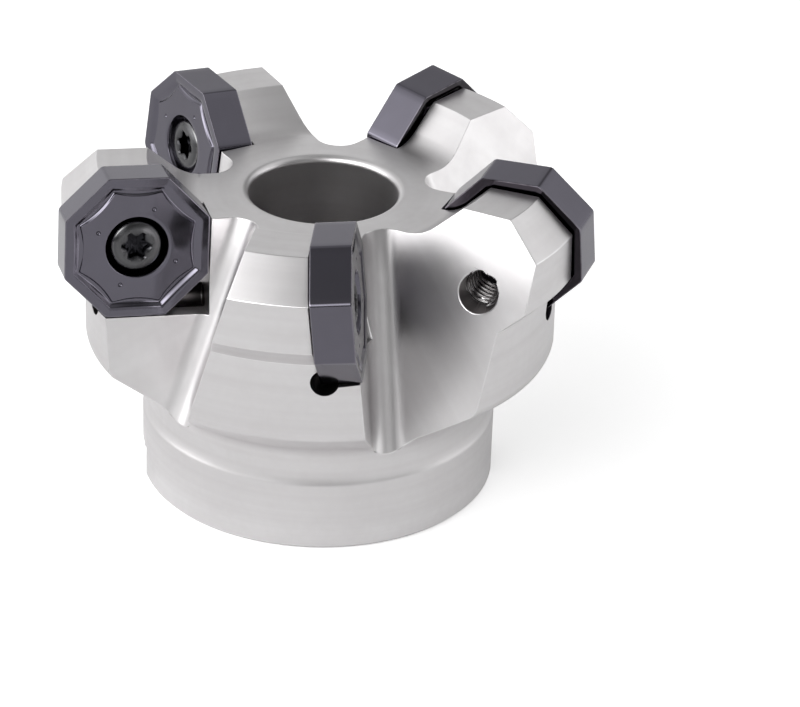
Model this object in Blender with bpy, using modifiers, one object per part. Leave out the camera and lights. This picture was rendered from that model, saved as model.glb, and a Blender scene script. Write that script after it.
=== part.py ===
"""Indexable 45 degree face mill: keyed shell-mill body, five octagonal inserts and their screws.

Metres, +Z up. The origin is on the spindle axis, in the plane of the mounting face, so the mill
stands on its hub with the cutting end up. One insert faces the drive slot's side at -Y.
"""
import math

import bmesh
import bpy
from mathutils import Matrix, Vector

# Hub and mounting, the side that goes on the arbor
HUB_RADIUS = 0.0250
HUB_HEIGHT = 0.00975
HUB_CHAMFER = 0.0006
ARBOR_BORE_RADIUS = 0.009525
ARBOR_BORE_DEPTH = 0.0190
ARBOR_BORE_CHAMFER = 0.0008
DRIVE_SLOT_WIDTH = 0.00794
DRIVE_SLOT_DEPTH = 0.00476
LOCK_SCREW_HOLE_RADIUS = 0.0053
SHOULDER_THICKNESS = 0.0055
COUNTERBORE_RADIUS = 0.01035
COUNTERBORE_LIP_RADIUS = 0.0010

# Turned body: neck, rim, skirt and the plate between the teeth
NECK_UNDERCUT = 0.0005
NECK_FILLET_RADIUS = 0.00617
RIM_UNDERSIDE_ANGLE = math.radians(37.3)
RIM_RADIUS = 0.0330
RIM_ROUND = 0.0020
PLATE_HEIGHT = 0.04325
PLATE_BLEND_RADIUS = 0.0050

# Inserts and how they sit in the body
TOOTH_COUNT = 5
FIRST_TOOTH_AZIMUTH = math.radians(-90.0)
INSERT_SIDES = 8
INSERT_INSCRIBED_RADIUS = 0.00994
INSERT_THICKNESS = 0.00552
INSERT_CORNER_RADIUS = 0.0008
INSERT_INSET = 0.00516
INSERT_DROP = 0.00336
RADIAL_RAKE = math.radians(-8.92)
AXIAL_RAKE = math.radians(-5.80)
INSERT_TURN = math.radians(2.74)
TOOTH_RELIEF = 0.0016
SEAT_CLEARANCE = 0.00025

# Insert face: edge land, chip-breaker groove, plateau and countersunk hole
LAND_WIDTH = 0.0002
GROOVE_WIDTH = 0.0022
GROOVE_FLOOR_AT = 0.00135
GROOVE_DEPTH = 0.00045
PLATEAU_DEPTH = 0.00022
PLATEAU_SCALLOP = 0.00042
INSERT_HOLE_RADIUS = 0.0030
INSERT_SINK_RADIUS = 0.0043
SINK_HALF_ANGLE = math.radians(30.0)

# Insert screw, its recess and its threaded hole
SCREW_RADIUS = 0.00205
SCREW_LENGTH = 0.0127
SCREW_HEAD_DEPTH = 0.0003
SCREW_HEAD_RIM = 0.00075
SCREW_TIP_CHAMFER = 0.0005
RECESS_OUTER_RADIUS = 0.00197
RECESS_INNER_RADIUS = 0.00141
RECESS_DEPTH = 0.0018
RECESS_LOBES = 6
THREADED_HOLE_RADIUS = 0.0023
EXIT_SINK_SETBACK = 0.0003
EXIT_SINK_LENGTH = 0.0030

# Pocket and chip gullet
WALL_SETBACK = 0.00032
CORNER_RELIEF_RADIUS = 0.0019
CORNER_RELIEF_OFFSET = 0.0008
CORNER_RELIEF_OVERRUN = 0.0004
GULLET_ROOT_RADIUS = 0.0033
BACK_DISTANCE = 0.01798
BACK_AZIMUTH = math.radians(-104.84)
BACK_TILT = math.radians(16.04)

# Fineness of the round surfaces
TURNED_STEPS = 96
ARC_STEP = math.radians(16.0)
ROOT_ARC_STEPS = 8
CORNER_STEPS = 2
HOLE_SEGMENTS = 24
RELIEF_SEGMENTS = 20
CUT_MARGIN = 0.0010

TOOTH_PITCH = 2.0 * math.pi / TOOTH_COUNT
INSERT_ORBIT = RIM_RADIUS - INSERT_INSET
INSERT_HEIGHT = PLATE_HEIGHT - INSERT_DROP
TOOTH_OCTAGON = INSERT_INSCRIBED_RADIUS - TOOTH_RELIEF
TOOTH_TOP = INSERT_HEIGHT + TOOTH_OCTAGON
TOOTH_RADIUS = INSERT_ORBIT + TOOTH_OCTAGON

STEEL = ("satin_steel", (0.62, 0.61, 0.60, 1.0), 1.0, 0.30)
CARBIDE = ("coated_carbide", (0.10, 0.095, 0.13, 1.0), 0.55, 0.34)
SCREW_STEEL = ("screw_steel", (0.40, 0.39, 0.39, 1.0), 1.0, 0.28)


def clear_scene():
    for item in list(bpy.data.objects):
        bpy.data.objects.remove(item, do_unlink=True)


def new_collection(name):
    collection = bpy.data.collections.new(name)
    bpy.context.scene.collection.children.link(collection)
    return collection


def new_material(name, colour, metallic, roughness):
    material = bpy.data.materials.new(name)
    material.use_nodes = True
    shader = material.node_tree.nodes["Principled BSDF"]
    shader.inputs["Base Color"].default_value = colour
    shader.inputs["Metallic"].default_value = metallic
    shader.inputs["Roughness"].default_value = roughness
    return material


def new_object(name, mesh, collection, material=None, matrix=None):
    item = bpy.data.objects.new(name, mesh)
    collection.objects.link(item)
    if material is not None:
        mesh.materials.append(material)
    if matrix is not None:
        item.matrix_world = matrix
    return item


def hide_cutter(item):
    item.hide_render = True
    item.display_type = "WIRE"


def mesh_from_bmesh(name, bm):
    mesh = bpy.data.meshes.new(name)
    bm.to_mesh(mesh)
    bm.free()
    return mesh


def smooth(mesh, angle_degrees=30.0):
    mesh.shade_smooth()
    mesh.set_sharp_from_angle(angle=math.radians(angle_degrees))


def arc(centre, radius, start, end, step=ARC_STEP):
    """Points on an arc from the start angle to the end angle, both included."""
    count = max(1, math.ceil(abs(end - start) / step - 1e-6))
    angles = [start + (end - start) * k / count for k in range(count + 1)]
    return [(centre[0] + radius * math.cos(a), centre[1] + radius * math.sin(a)) for a in angles]


def turned_profile():
    """Half section of the body as (radius, height) pairs, down the outside and up the bore."""
    half_side = TOOTH_OCTAGON * math.tan(math.pi / INSERT_SIDES)
    top_inner = INSERT_ORBIT - half_side
    skirt_top = INSERT_HEIGHT - half_side - (TOOTH_RADIUS - RIM_RADIUS)
    points = [
        (top_inner, TOOTH_TOP),
        (INSERT_ORBIT + half_side, TOOTH_TOP),
        (TOOTH_RADIUS, INSERT_HEIGHT + half_side),
        (TOOTH_RADIUS, INSERT_HEIGHT - half_side),
        (RIM_RADIUS, skirt_top),
    ]
    # The neck is a fillet that starts at the hub's edge and runs out into the rim's underside
    neck_centre_r = HUB_RADIUS - NECK_UNDERCUT + NECK_FILLET_RADIUS
    drop = math.sqrt(NECK_FILLET_RADIUS ** 2 - (neck_centre_r - HUB_RADIUS) ** 2)
    neck_centre = (neck_centre_r, HUB_HEIGHT + drop)
    normal_angle = math.pi / 2 + RIM_UNDERSIDE_ANGLE
    hub_angle = math.pi + math.asin(drop / NECK_FILLET_RADIUS)
    neck = arc(neck_centre, NECK_FILLET_RADIUS, normal_angle, hub_angle)
    # The rim's round touches the skirt and the underside, which leaves the neck's fillet there
    run = RIM_RADIUS - RIM_ROUND - neck[0][0]
    rise = run * math.tan(RIM_UNDERSIDE_ANGLE) + RIM_ROUND / math.cos(RIM_UNDERSIDE_ANGLE)
    rim_centre = (RIM_RADIUS - RIM_ROUND, neck[0][1] + rise)
    points += arc(rim_centre, RIM_ROUND, 0.0, -(math.pi / 2 - RIM_UNDERSIDE_ANGLE))
    points += neck
    points += [
        (HUB_RADIUS, HUB_CHAMFER),
        (HUB_RADIUS - HUB_CHAMFER, 0.0),
        (ARBOR_BORE_RADIUS + ARBOR_BORE_CHAMFER, 0.0),
        (ARBOR_BORE_RADIUS, ARBOR_BORE_CHAMFER),
        (ARBOR_BORE_RADIUS, ARBOR_BORE_DEPTH),
        (LOCK_SCREW_HOLE_RADIUS, ARBOR_BORE_DEPTH),
        (LOCK_SCREW_HOLE_RADIUS, ARBOR_BORE_DEPTH + SHOULDER_THICKNESS),
        (COUNTERBORE_RADIUS, ARBOR_BORE_DEPTH + SHOULDER_THICKNESS),
    ]
    lip_centre = (COUNTERBORE_RADIUS + COUNTERBORE_LIP_RADIUS, PLATE_HEIGHT - COUNTERBORE_LIP_RADIUS)
    points += arc(lip_centre, COUNTERBORE_LIP_RADIUS, math.pi, math.pi / 2, math.radians(30.0))
    # The plate turns up into the teeth's inner facets, which lean at 45 degrees
    blend_reach = PLATE_BLEND_RADIUS * math.tan(math.pi / INSERT_SIDES)
    facet_foot = top_inner - (TOOTH_TOP - PLATE_HEIGHT)
    blend_centre = (facet_foot - blend_reach, PLATE_HEIGHT + PLATE_BLEND_RADIUS)
    points += arc(blend_centre, PLATE_BLEND_RADIUS, -math.pi / 2, -math.pi / 4)
    return points


def turned_mesh(name, profile):
    """Closed wire of the half section, for a Screw modifier about Z."""
    bm = bmesh.new()
    verts = [bm.verts.new((r, 0.0, z)) for r, z in profile]
    for first, second in zip(verts, verts[1:] + verts[:1]):
        bm.edges.new((first, second))
    return mesh_from_bmesh(name, bm)


def add_screw_modifier(item, steps):
    turn = item.modifiers.new("Turn", "SCREW")
    turn.axis = "Z"
    turn.angle = 2.0 * math.pi
    turn.steps = steps
    turn.render_steps = steps
    turn.use_merge_vertices = True
    turn.merge_threshold = 0.00001
    item.modifiers.new("Flat faces", "TRIANGULATE")


def add_cut(item, cutter):
    cut = item.modifiers.new("Cut " + cutter.name, "BOOLEAN")
    cut.operation = "DIFFERENCE"
    cut.solver = "EXACT"
    cut.object = cutter


def tooth_turn(tooth):
    return Matrix.Rotation(FIRST_TOOTH_AZIMUTH + TOOTH_PITCH * tooth, 4, "Z")


def seat_frame():
    """Frame of an insert in its tooth: X outward, Y down, Z along the rake face's normal."""
    return (
        Matrix.Translation((INSERT_ORBIT, 0.0, INSERT_HEIGHT))
        @ Matrix.Rotation(RADIAL_RAKE, 4, "Z")
        @ Matrix.Rotation(-AXIAL_RAKE, 4, "X")
        @ Matrix.Rotation(-INSERT_TURN, 4, "Y")
        @ Matrix.Rotation(-math.pi / 2, 4, "X")
    )


def box_mesh(name, low, high):
    bm = bmesh.new()
    size = [b - a for a, b in zip(low, high)]
    centre = [(a + b) / 2 for a, b in zip(low, high)]
    matrix = Matrix.Translation(centre) @ Matrix.Diagonal((*size, 1.0))
    bmesh.ops.create_cube(bm, size=1.0, matrix=matrix)
    return mesh_from_bmesh(name, bm)


def circle(radius, z, segments):
    angles = [2.0 * math.pi * k / segments for k in range(segments)]
    return [(radius * math.cos(a), radius * math.sin(a), z) for a in angles]


def loft_mesh(name, rings, closed=False):
    """Skin through rings of equal count. An open loft is capped, a closed one joins its ends."""
    bm = bmesh.new()
    rows = [[bm.verts.new(point) for point in ring] for ring in rings]
    pairs = list(zip(rows, rows[1:]))
    if closed:
        pairs.append((rows[-1], rows[0]))
    for low, high in pairs:
        for k in range(len(low)):
            n = (k + 1) % len(low)
            bm.faces.new((low[k], low[n], high[n], high[k]))
    if not closed:
        bm.faces.new(list(reversed(rows[0])))
        bm.faces.new(rows[-1])
    bmesh.ops.recalc_face_normals(bm, faces=bm.faces)
    bmesh.ops.triangulate(bm, faces=bm.faces)
    return mesh_from_bmesh(name, bm)


def wall_plane():
    """Front wall of a tooth: parallel to the rake face and a little behind it."""
    seat = seat_frame()
    normal = (seat.to_3x3() @ Vector((0.0, 0.0, 1.0))).normalized()
    distance = normal.dot(seat.translation) + INSERT_THICKNESS / 2 - WALL_SETBACK
    return normal, distance


def back_plane():
    """Back of the next tooth, seen from the frame of this gullet's own tooth."""
    azimuth = BACK_AZIMUTH + TOOTH_PITCH
    flat = Vector((math.cos(azimuth), math.sin(azimuth), 0.0)) * math.cos(BACK_TILT)
    return flat + Vector((0.0, 0.0, math.sin(BACK_TILT))), BACK_DISTANCE


def section_line(plane, height):
    """Trace of a plane at one height: a unit normal in XY and its distance from the axis."""
    normal, distance = plane
    length = math.hypot(normal.x, normal.y)
    return Vector((normal.x, normal.y)) / length, (distance - normal.z * height) / length


def gullet_section(height):
    """Closed outline of the gullet at one height, from the tooth's wall round to the next back."""
    wall_normal, wall_offset = section_line(wall_plane(), height)
    back_normal, back_offset = section_line(back_plane(), height)
    # The root's centre is one radius inside both lines
    lines = Matrix(((wall_normal.x, wall_normal.y), (back_normal.x, back_normal.y)))
    reach = Vector((wall_offset + GULLET_ROOT_RADIUS, back_offset + GULLET_ROOT_RADIUS))
    centre = lines.inverted() @ reach
    start = math.atan2(-wall_normal.y, -wall_normal.x)
    end = math.atan2(-back_normal.y, -back_normal.x)
    while end > start:
        end -= 2.0 * math.pi
    step = abs(end - start) / ROOT_ARC_STEPS
    root = [Vector(point) for point in arc(centre, GULLET_ROOT_RADIUS, start, end, step)]
    far = 2.0 * TOOTH_RADIUS
    first = root[0] + Vector((wall_normal.y, -wall_normal.x)) * far
    last = root[-1] + Vector((-back_normal.y, back_normal.x)) * far
    return [(point.x, point.y, height) for point in [first] + root + [last]]


def body_cutters(tooth, collection):
    """Gullet, insert pocket, corner relief and screw hole of one tooth."""
    place = tooth_turn(tooth)
    seat = place @ seat_frame()
    inner = INSERT_INSCRIBED_RADIUS + SEAT_CLEARANCE
    outer = TOOTH_RADIUS - INSERT_ORBIT + INSERT_INSCRIBED_RADIUS
    floor = INSERT_THICKNESS / 2 + SEAT_CLEARANCE
    front = INSERT_THICKNESS / 2 - WALL_SETBACK + CUT_MARGIN
    pocket = box_mesh("pocket", (-inner, -outer, -floor), (outer, inner, front))
    relief_start = -inner - CORNER_RELIEF_OVERRUN
    relief = loft_mesh("relief", [
        circle(CORNER_RELIEF_RADIUS, relief_start, RELIEF_SEGMENTS),
        circle(CORNER_RELIEF_RADIUS, outer, RELIEF_SEGMENTS),
    ])
    relief_place = Matrix.Translation((0.0, inner - CORNER_RELIEF_OFFSET, CORNER_RELIEF_OFFSET - floor))
    relief_place = relief_place @ Matrix.Rotation(math.pi / 2, 4, "Y")
    sink_start = hole_exit_depth() - EXIT_SINK_SETBACK
    hole = loft_mesh("hole", [
        circle(THREADED_HOLE_RADIUS, 0.0, HOLE_SEGMENTS),
        circle(THREADED_HOLE_RADIUS, sink_start, HOLE_SEGMENTS),
        circle(THREADED_HOLE_RADIUS + EXIT_SINK_LENGTH, sink_start - EXIT_SINK_LENGTH, HOLE_SEGMENTS),
    ])
    gullet_ends = (HUB_HEIGHT / 2, TOOTH_TOP + 2 * CUT_MARGIN)
    gullet = loft_mesh("gullet", [gullet_section(z) for z in gullet_ends])
    cutters = []
    for name, mesh, matrix in (
        ("gullet", gullet, place),
        ("pocket", pocket, seat),
        ("corner_relief", relief, seat @ relief_place),
        ("threaded_hole", hole, seat),
    ):
        cutter = new_object(f"{name}_cutter_{tooth + 1}", mesh, collection, matrix=matrix)
        hide_cutter(cutter)
        cutters.append(cutter)
    return cutters


def hole_exit_depth():
    """Where the screw's axis leaves the back of its own tooth, along the seat's Z."""
    seat = seat_frame()
    axis = (seat.to_3x3() @ Vector((0.0, 0.0, 1.0))).normalized()
    normal, distance = back_plane()
    own_normal = Matrix.Rotation(-TOOTH_PITCH, 3, "Z") @ normal
    return (distance - own_normal.dot(seat.translation)) / own_normal.dot(axis)


def make_body(collection, cutter_collection, material):
    mesh = turned_mesh("cutter_body", turned_profile())
    body = new_object("cutter_body", mesh, collection, material)
    add_screw_modifier(body, TURNED_STEPS)
    reach = HUB_RADIUS + CUT_MARGIN
    half_width = DRIVE_SLOT_WIDTH / 2
    slot_mesh = box_mesh(
        "drive_slot", (-reach, -half_width, -CUT_MARGIN), (reach, half_width, DRIVE_SLOT_DEPTH)
    )
    slot = new_object("drive_slot_cutter", slot_mesh, cutter_collection)
    hide_cutter(slot)
    add_cut(body, slot)
    teeth = [body_cutters(tooth, cutter_collection) for tooth in range(TOOTH_COUNT)]
    for like_cutters in zip(*teeth):
        for cutter in like_cutters:
            add_cut(body, cutter)
    return body


def octagon_ring(inscribed, corner_radius, z, scallop=0.0):
    """Ring of the insert's outline; scallop pulls the middle of each side inwards."""
    ring = []
    half_angle = math.pi / INSERT_SIDES
    centre_distance = (inscribed - corner_radius) / math.cos(half_angle)
    for side in range(INSERT_SIDES):
        corner = half_angle + 2 * half_angle * side
        for k in range(CORNER_STEPS + 1):
            a = corner + half_angle * (2 * k / CORNER_STEPS - 1)
            ring.append((
                centre_distance * math.cos(corner) + corner_radius * math.cos(a),
                centre_distance * math.sin(corner) + corner_radius * math.sin(a),
                z,
            ))
        middle = corner + half_angle
        ring.append(((inscribed - scallop) * math.cos(middle), (inscribed - scallop) * math.sin(middle), z))
    return ring


def round_ring(radius, z):
    """Circle with its points in line with those of the octagon's rings."""
    return [
        (radius * math.cos(math.atan2(y, x)), radius * math.sin(math.atan2(y, x)), z)
        for x, y, _ in octagon_ring(INSERT_INSCRIBED_RADIUS, INSERT_CORNER_RADIUS, 0.0)
    ]


def insert_mesh(material):
    """Double-sided octagonal insert: both faces are the same, and the hole is sunk from both."""
    half = INSERT_THICKNESS / 2
    groove_floor = INSERT_INSCRIBED_RADIUS - LAND_WIDTH - GROOVE_FLOOR_AT
    plateau = INSERT_INSCRIBED_RADIUS - LAND_WIDTH - GROOVE_WIDTH
    sink_depth = (INSERT_SINK_RADIUS - INSERT_HOLE_RADIUS) / math.tan(SINK_HALF_ANGLE)
    face = [
        octagon_ring(INSERT_INSCRIBED_RADIUS, INSERT_CORNER_RADIUS, half),
        octagon_ring(INSERT_INSCRIBED_RADIUS - LAND_WIDTH, INSERT_CORNER_RADIUS, half),
        octagon_ring(groove_floor, INSERT_CORNER_RADIUS, half - GROOVE_DEPTH, PLATEAU_SCALLOP / 2),
        octagon_ring(plateau, INSERT_CORNER_RADIUS, half - PLATEAU_DEPTH, PLATEAU_SCALLOP),
        round_ring(INSERT_SINK_RADIUS, half - PLATEAU_DEPTH),
        round_ring(INSERT_HOLE_RADIUS, half - PLATEAU_DEPTH - sink_depth),
    ]
    other_face = [[(x, y, -z) for x, y, z in ring] for ring in reversed(face)]
    mesh = loft_mesh("insert", face + other_face, closed=True)
    smooth(mesh)
    mesh.materials.append(material)
    return mesh


def sink_radius_at(depth):
    """Radius of the insert's countersink at a depth below its plateau."""
    return INSERT_SINK_RADIUS - depth * math.tan(SINK_HALF_ANGLE)


def screw_mesh(material):
    """Countersunk screw about Z: head up, with a six-lobed recess; the origin is the insert's centre."""
    head_top = INSERT_THICKNESS / 2 - PLATEAU_DEPTH - SCREW_HEAD_DEPTH
    head_radius = sink_radius_at(SCREW_HEAD_DEPTH + SCREW_HEAD_RIM) - SEAT_CLEARANCE
    cone_start = head_top - SCREW_HEAD_RIM
    cone_end = cone_start - (head_radius - SCREW_RADIUS) / math.tan(SINK_HALF_ANGLE)
    tip = head_top - SCREW_LENGTH
    segments = 4 * RECESS_LOBES

    def ring(radius, z, lobe_depth=0.0):
        points = []
        for k in range(segments):
            a = 2 * math.pi * k / segments
            r = radius - lobe_depth * (0.5 - 0.5 * math.cos(RECESS_LOBES * a))
            points.append((r * math.cos(a), r * math.sin(a), z))
        return points

    lobe_depth = RECESS_OUTER_RADIUS - RECESS_INNER_RADIUS
    rings = [
        ring(RECESS_OUTER_RADIUS, head_top - RECESS_DEPTH, lobe_depth),
        ring(RECESS_OUTER_RADIUS, head_top, lobe_depth),
        ring(head_radius, head_top),
        ring(head_radius, cone_start),
        ring(SCREW_RADIUS, cone_end),
        ring(SCREW_RADIUS, tip + SCREW_TIP_CHAMFER),
        ring(SCREW_RADIUS - SCREW_TIP_CHAMFER, tip),
    ]
    mesh = loft_mesh("insert_screw", rings)
    smooth(mesh)
    mesh.materials.append(material)
    return mesh


def main():
    clear_scene()
    mill = new_collection("face_mill")
    cutters = new_collection("cutters")
    steel = new_material(*STEEL)
    carbide = new_material(*CARBIDE)
    screw_steel = new_material(*SCREW_STEEL)
    make_body(mill, cutters, steel)
    shared_insert = insert_mesh(carbide)
    shared_screw = screw_mesh(screw_steel)
    for tooth in range(TOOTH_COUNT):
        seat = tooth_turn(tooth) @ seat_frame()
        new_object(f"insert_{tooth + 1}", shared_insert, mill, matrix=seat)
        new_object(f"insert_screw_{tooth + 1}", shared_screw, mill, matrix=seat)


main()
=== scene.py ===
"""Looks of the indexable face mill: satin steel body, dark coated inserts and dark turned screws.

Metres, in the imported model's frame: +Z runs along the spindle from the mounting face to the cutting
end. Every piece rides on the one body, "root", and takes the place of the plain solid it names.
"""

import math

import bmesh
import bpy
from mathutils import Matrix, Vector


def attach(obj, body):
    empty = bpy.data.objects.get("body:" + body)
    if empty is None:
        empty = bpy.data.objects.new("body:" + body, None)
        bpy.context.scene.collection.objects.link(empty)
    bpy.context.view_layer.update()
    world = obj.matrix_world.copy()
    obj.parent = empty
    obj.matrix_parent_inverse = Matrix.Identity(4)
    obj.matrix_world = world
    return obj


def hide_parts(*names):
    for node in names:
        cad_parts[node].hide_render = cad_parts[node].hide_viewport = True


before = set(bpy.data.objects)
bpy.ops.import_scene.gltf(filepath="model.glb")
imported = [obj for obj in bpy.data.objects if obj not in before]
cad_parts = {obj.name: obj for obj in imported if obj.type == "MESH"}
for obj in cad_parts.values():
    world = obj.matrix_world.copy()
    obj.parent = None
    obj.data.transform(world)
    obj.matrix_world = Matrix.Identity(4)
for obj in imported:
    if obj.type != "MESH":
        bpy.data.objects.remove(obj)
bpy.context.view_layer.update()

# Camera, as the photograph was taken
LENS_MM = 163.674
SENSOR_MM = 36.0
CAMERA_DISTANCE = 0.515757
CAMERA_ELEVATION = math.radians(28.192)
CAMERA_YAW = math.radians(1.674)
CAMERA_ROLL = math.radians(1.10)
AIM_POINT = (-0.003673, 0.0, 0.017581)
MILL_TURN = math.radians(4.45)

# Floor: its colour, and how much light of its own it adds for the eye and in the metal's reflections
FLOOR_HALF_WIDTH = 3.0
FLOOR_COLOUR = (0.85, 0.85, 0.85, 1.0)
FLOOR_LIFT = 0.48
FLOOR_LIFT_IN_METAL = 0.09

# Sky: each band has its elevation in degrees and its powers round from the front, counterclockwise
DOME_STRENGTH = 10.0
DOME_BANDS = (
    (8.0, (0.07, 0.76, 0.23, 2.10, 1.03, 0.00, 0.86, 1.04, 0.83, 3.86, 0.00, 0.00)),
    (32.0, (0.07, 0.06, 0.04, 0.94, 1.08, 0.08, 0.76, 0.48, 1.26, 1.46, 5.92, 6.48)),
    (56.0, (0.30, 0.53, 0.77, 0.31, 1.12, 0.41)),
    (90.0, (0.16, 0.16)),
)

# Hub and mounting
HUB_RADIUS = 0.0250
HUB_HEIGHT = 0.00975
HUB_CHAMFER = 0.0006
ARBOR_BORE_RADIUS = 0.009525
ARBOR_BORE_DEPTH = 0.0190
ARBOR_BORE_CHAMFER = 0.0008
DRIVE_SLOT_WIDTH = 0.00794
DRIVE_SLOT_DEPTH = 0.00476
LOCK_SCREW_HOLE_RADIUS = 0.0053
SHOULDER_THICKNESS = 0.0055
COUNTERBORE_RADIUS = 0.01035
COUNTERBORE_LIP_RADIUS = 0.0010

# Turned body
NECK_UNDERCUT = 0.0005
NECK_FILLET_RADIUS = 0.00617
RIM_UNDERSIDE_ANGLE = math.radians(37.3)
RIM_RADIUS = 0.0330
RIM_ROUND = 0.0020
PLATE_HEIGHT = 0.04325
PLATE_BLEND_RADIUS = 0.0050
EDGE_BREAK = 0.00012

# Inserts and their seats
TOOTH_COUNT = 5
TOOTH_PITCH = 2.0 * math.pi / TOOTH_COUNT
FIRST_TOOTH_AZIMUTH = math.radians(-90.0)
INSERT_SIDES = 8
INSERT_INSCRIBED_RADIUS = 0.00994
INSERT_THICKNESS = 0.00552
INSERT_CORNER_RADIUS = 0.0008
INSERT_ORBIT = RIM_RADIUS - 0.00516
INSERT_HEIGHT = PLATE_HEIGHT - 0.00336
RADIAL_RAKE = math.radians(-8.92)
AXIAL_RAKE = math.radians(-5.80)
INSERT_TURN = math.radians(2.74)
TOOTH_RELIEF = 0.0016
SEAT_CLEARANCE = 0.00025
TOOTH_OCTAGON = INSERT_INSCRIBED_RADIUS - TOOTH_RELIEF
TOOTH_TOP = INSERT_HEIGHT + TOOTH_OCTAGON
TOOTH_RADIUS = INSERT_ORBIT + TOOTH_OCTAGON

# Insert face: insets from the cutting edge and depths below it
GROOVE_INSET = 0.00128
PLATEAU_INSET = 0.00222
PLATEAU_DEPTH = 0.00022
PLATEAU_SCALLOP = 0.00045
LEAST_CORNER_RADIUS = 0.0003
CORNER_NARROWING = 0.2
HONED_EDGE = ((0.0, 0.00020), (0.0, 0.00006), (0.00002, 0.00002), (0.00006, 0.0))
EDGE_LAND = ((0.00018, 0.0), (0.00026, 0.00001), (0.0008, 0.00006))
CHIP_GROOVE = (
    (GROOVE_INSET, 0.00011), (0.00134, 0.00014), (0.00144, 0.00022), (0.00160, 0.00036),
    (0.00174, 0.00045), (0.00186, 0.00049), (0.00196, 0.00049), (0.00204, 0.00045),
    (0.00211, 0.00038), (0.00217, 0.00029), (0.00220, 0.00024),
)
PLATEAU_RIM = ((PLATEAU_INSET, PLATEAU_DEPTH), (PLATEAU_INSET + 0.0001, PLATEAU_DEPTH))

# Insert's hole, as radii and depths below the plateau: its mouth curves in, then narrows as a bell
HOLE_BELL = (
    (0.00505, 0.0), (0.00446, 0.0), (0.00438, 0.00002), (0.00433, 0.00008),
    (0.00429, 0.00024), (0.00424, 0.00060), (0.00416, 0.00090), (0.00400, 0.00118),
    (0.00372, 0.00152), (0.00338, 0.00190), (0.00312, 0.00216), (0.0030, 0.00240),
)

# Dimples of the insert's plateau
DIMPLE_COUNT = 4
DIMPLE_FIRST_ANGLE = math.radians(-22.5)
DIMPLE_ORBIT = 0.0058
DIMPLE_RADIUS = 0.00036
DIMPLE_SINK = 0.00020
DIMPLE_SEGMENTS = 16
DIMPLE_RINGS = 10

# Widths of the masks on the insert: honed edge, corner between two flanks, flank
EDGE_MASK = 0.0001
CORNER_MASK = 0.00015
FLANK_MASK = 0.00001

# Insert screw and its threaded hole
SCREW_RADIUS = 0.00205
SCREW_LENGTH = 0.0127
SCREW_HEAD_RADIUS = 0.00344
SCREW_HEAD_TOP = INSERT_THICKNESS / 2 - PLATEAU_DEPTH - 0.0003
SCREW_HEAD_RIM = 0.00075
SCREW_HEAD_HALF_ANGLE = math.radians(30.0)
SCREW_END_CHAMFER = 0.0005
RECESS_LOBES = 6
RECESS_SEGMENTS = 16 * RECESS_LOBES
RECESS_OUTER_RADIUS = 0.00197
RECESS_INNER_RADIUS = 0.00141
RECESS_MOUTH_RADIUS = RECESS_OUTER_RADIUS + 0.00016
RECESS_DEPTH = 0.0018
RECESS_WALL_DEPTH = 0.85 * RECESS_DEPTH
RECESS_FLOOR_SHARE = 0.6
RECESS_LOBE_POWER = 1.5
THREAD_CREST_RADIUS = 0.00216
THREAD_ROOT_RADIUS = 0.00252
THREAD_PITCH = 0.0008
THREAD_FLANK_SLOPE = 1.6
THREAD_CREST_SHARE = 0.3
HOLE_OVERRUN = 0.0030
HOLE_MOUTH_RADIUS = 0.00293
HOLE_MOUTH_SHIFT = (-0.00040, -0.00055)

# Pocket and chip gullet
WALL_SETBACK = 0.00032
CORNER_RELIEF_RADIUS = 0.0019
CORNER_RELIEF_OFFSET = 0.0008
CORNER_RELIEF_OVERRUN = 0.0004
GULLET_ROOT_RADIUS = 0.0033
GULLET_REACH = 0.0398
BACK_DISTANCE = 0.01798
BACK_AZIMUTH = math.radians(-104.84)
BACK_TILT = math.radians(16.04)

# Direction across the milling marks, in the frame of a tooth that points along X, and the angle
# from each tooth to the middle of its gullet
MILLING_ACROSS = (0.406, 0.629, 0.663)
GULLET_MIDDLE = math.radians(20.0)

# Heights between which the milled faces shade as if they curved back, and the radius of that curve
MILLED_LEAN_FROM = 0.0370
MILLED_LEAN_TO = 0.0435
MILLED_LEAN_RADIUS = 0.056

# Tools that made the body's surfaces
LATHE = 0
END_MILL = 1
DRILL = 2

# Fineness of the round surfaces
TURNED_STEPS = 240
ARC_STEP = math.radians(5.0)
ROOT_ARC_STEPS = 20
HOLE_SEGMENTS = 40
RINGS_PER_THREAD = 6
CORNER_STEPS = 4
SIDE_STEPS = 8
CUT_MARGIN = 0.0010

# Limits for putting the cut body in order and for what counts as a sharp edge
MERGE_DISTANCE = 0.000002
FLAT_ANGLE = math.radians(0.25)
SLIVER_LENGTH = 0.00002
DEGENERATE_LENGTH = 0.00001
BROKEN_EDGE_ANGLE = math.radians(28.0)
BODY_SHARP_ANGLE = math.radians(35.0)
SMALL_PIECE_SHARP_ANGLE = math.radians(32.0)

# Satin steel
STEEL_BANDS = ((0.69, 0.675, 0.68, 1.0), (0.75, 0.74, 0.745, 1.0))
STEEL_FILM = (0.64, 0.62, 0.625, 1.0)
# Painted shade for the drilled holes and their mouths
STEEL_HOLE_SHADE = (0.10, 0.092, 0.092, 1.0)
# Rubbed edges, made lighter also as a painted edge highlight
STEEL_WEAR_AND_HIGHLIGHT = (0.82, 0.81, 0.815, 1.0)
STEEL_MARK_DEPTH = 0.000003
STEEL_GRAIN_DEPTH = 0.0000010
TURNED_ROUGHNESS = 0.34
MILLED_ROUGHNESS = 0.32
WORN_ROUGHNESS = 0.28
MILLED_SPREAD = 0.35

# Share of the drilled holes' painted shade that the wide bore has
BORE_SHADE = 0.25

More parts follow.
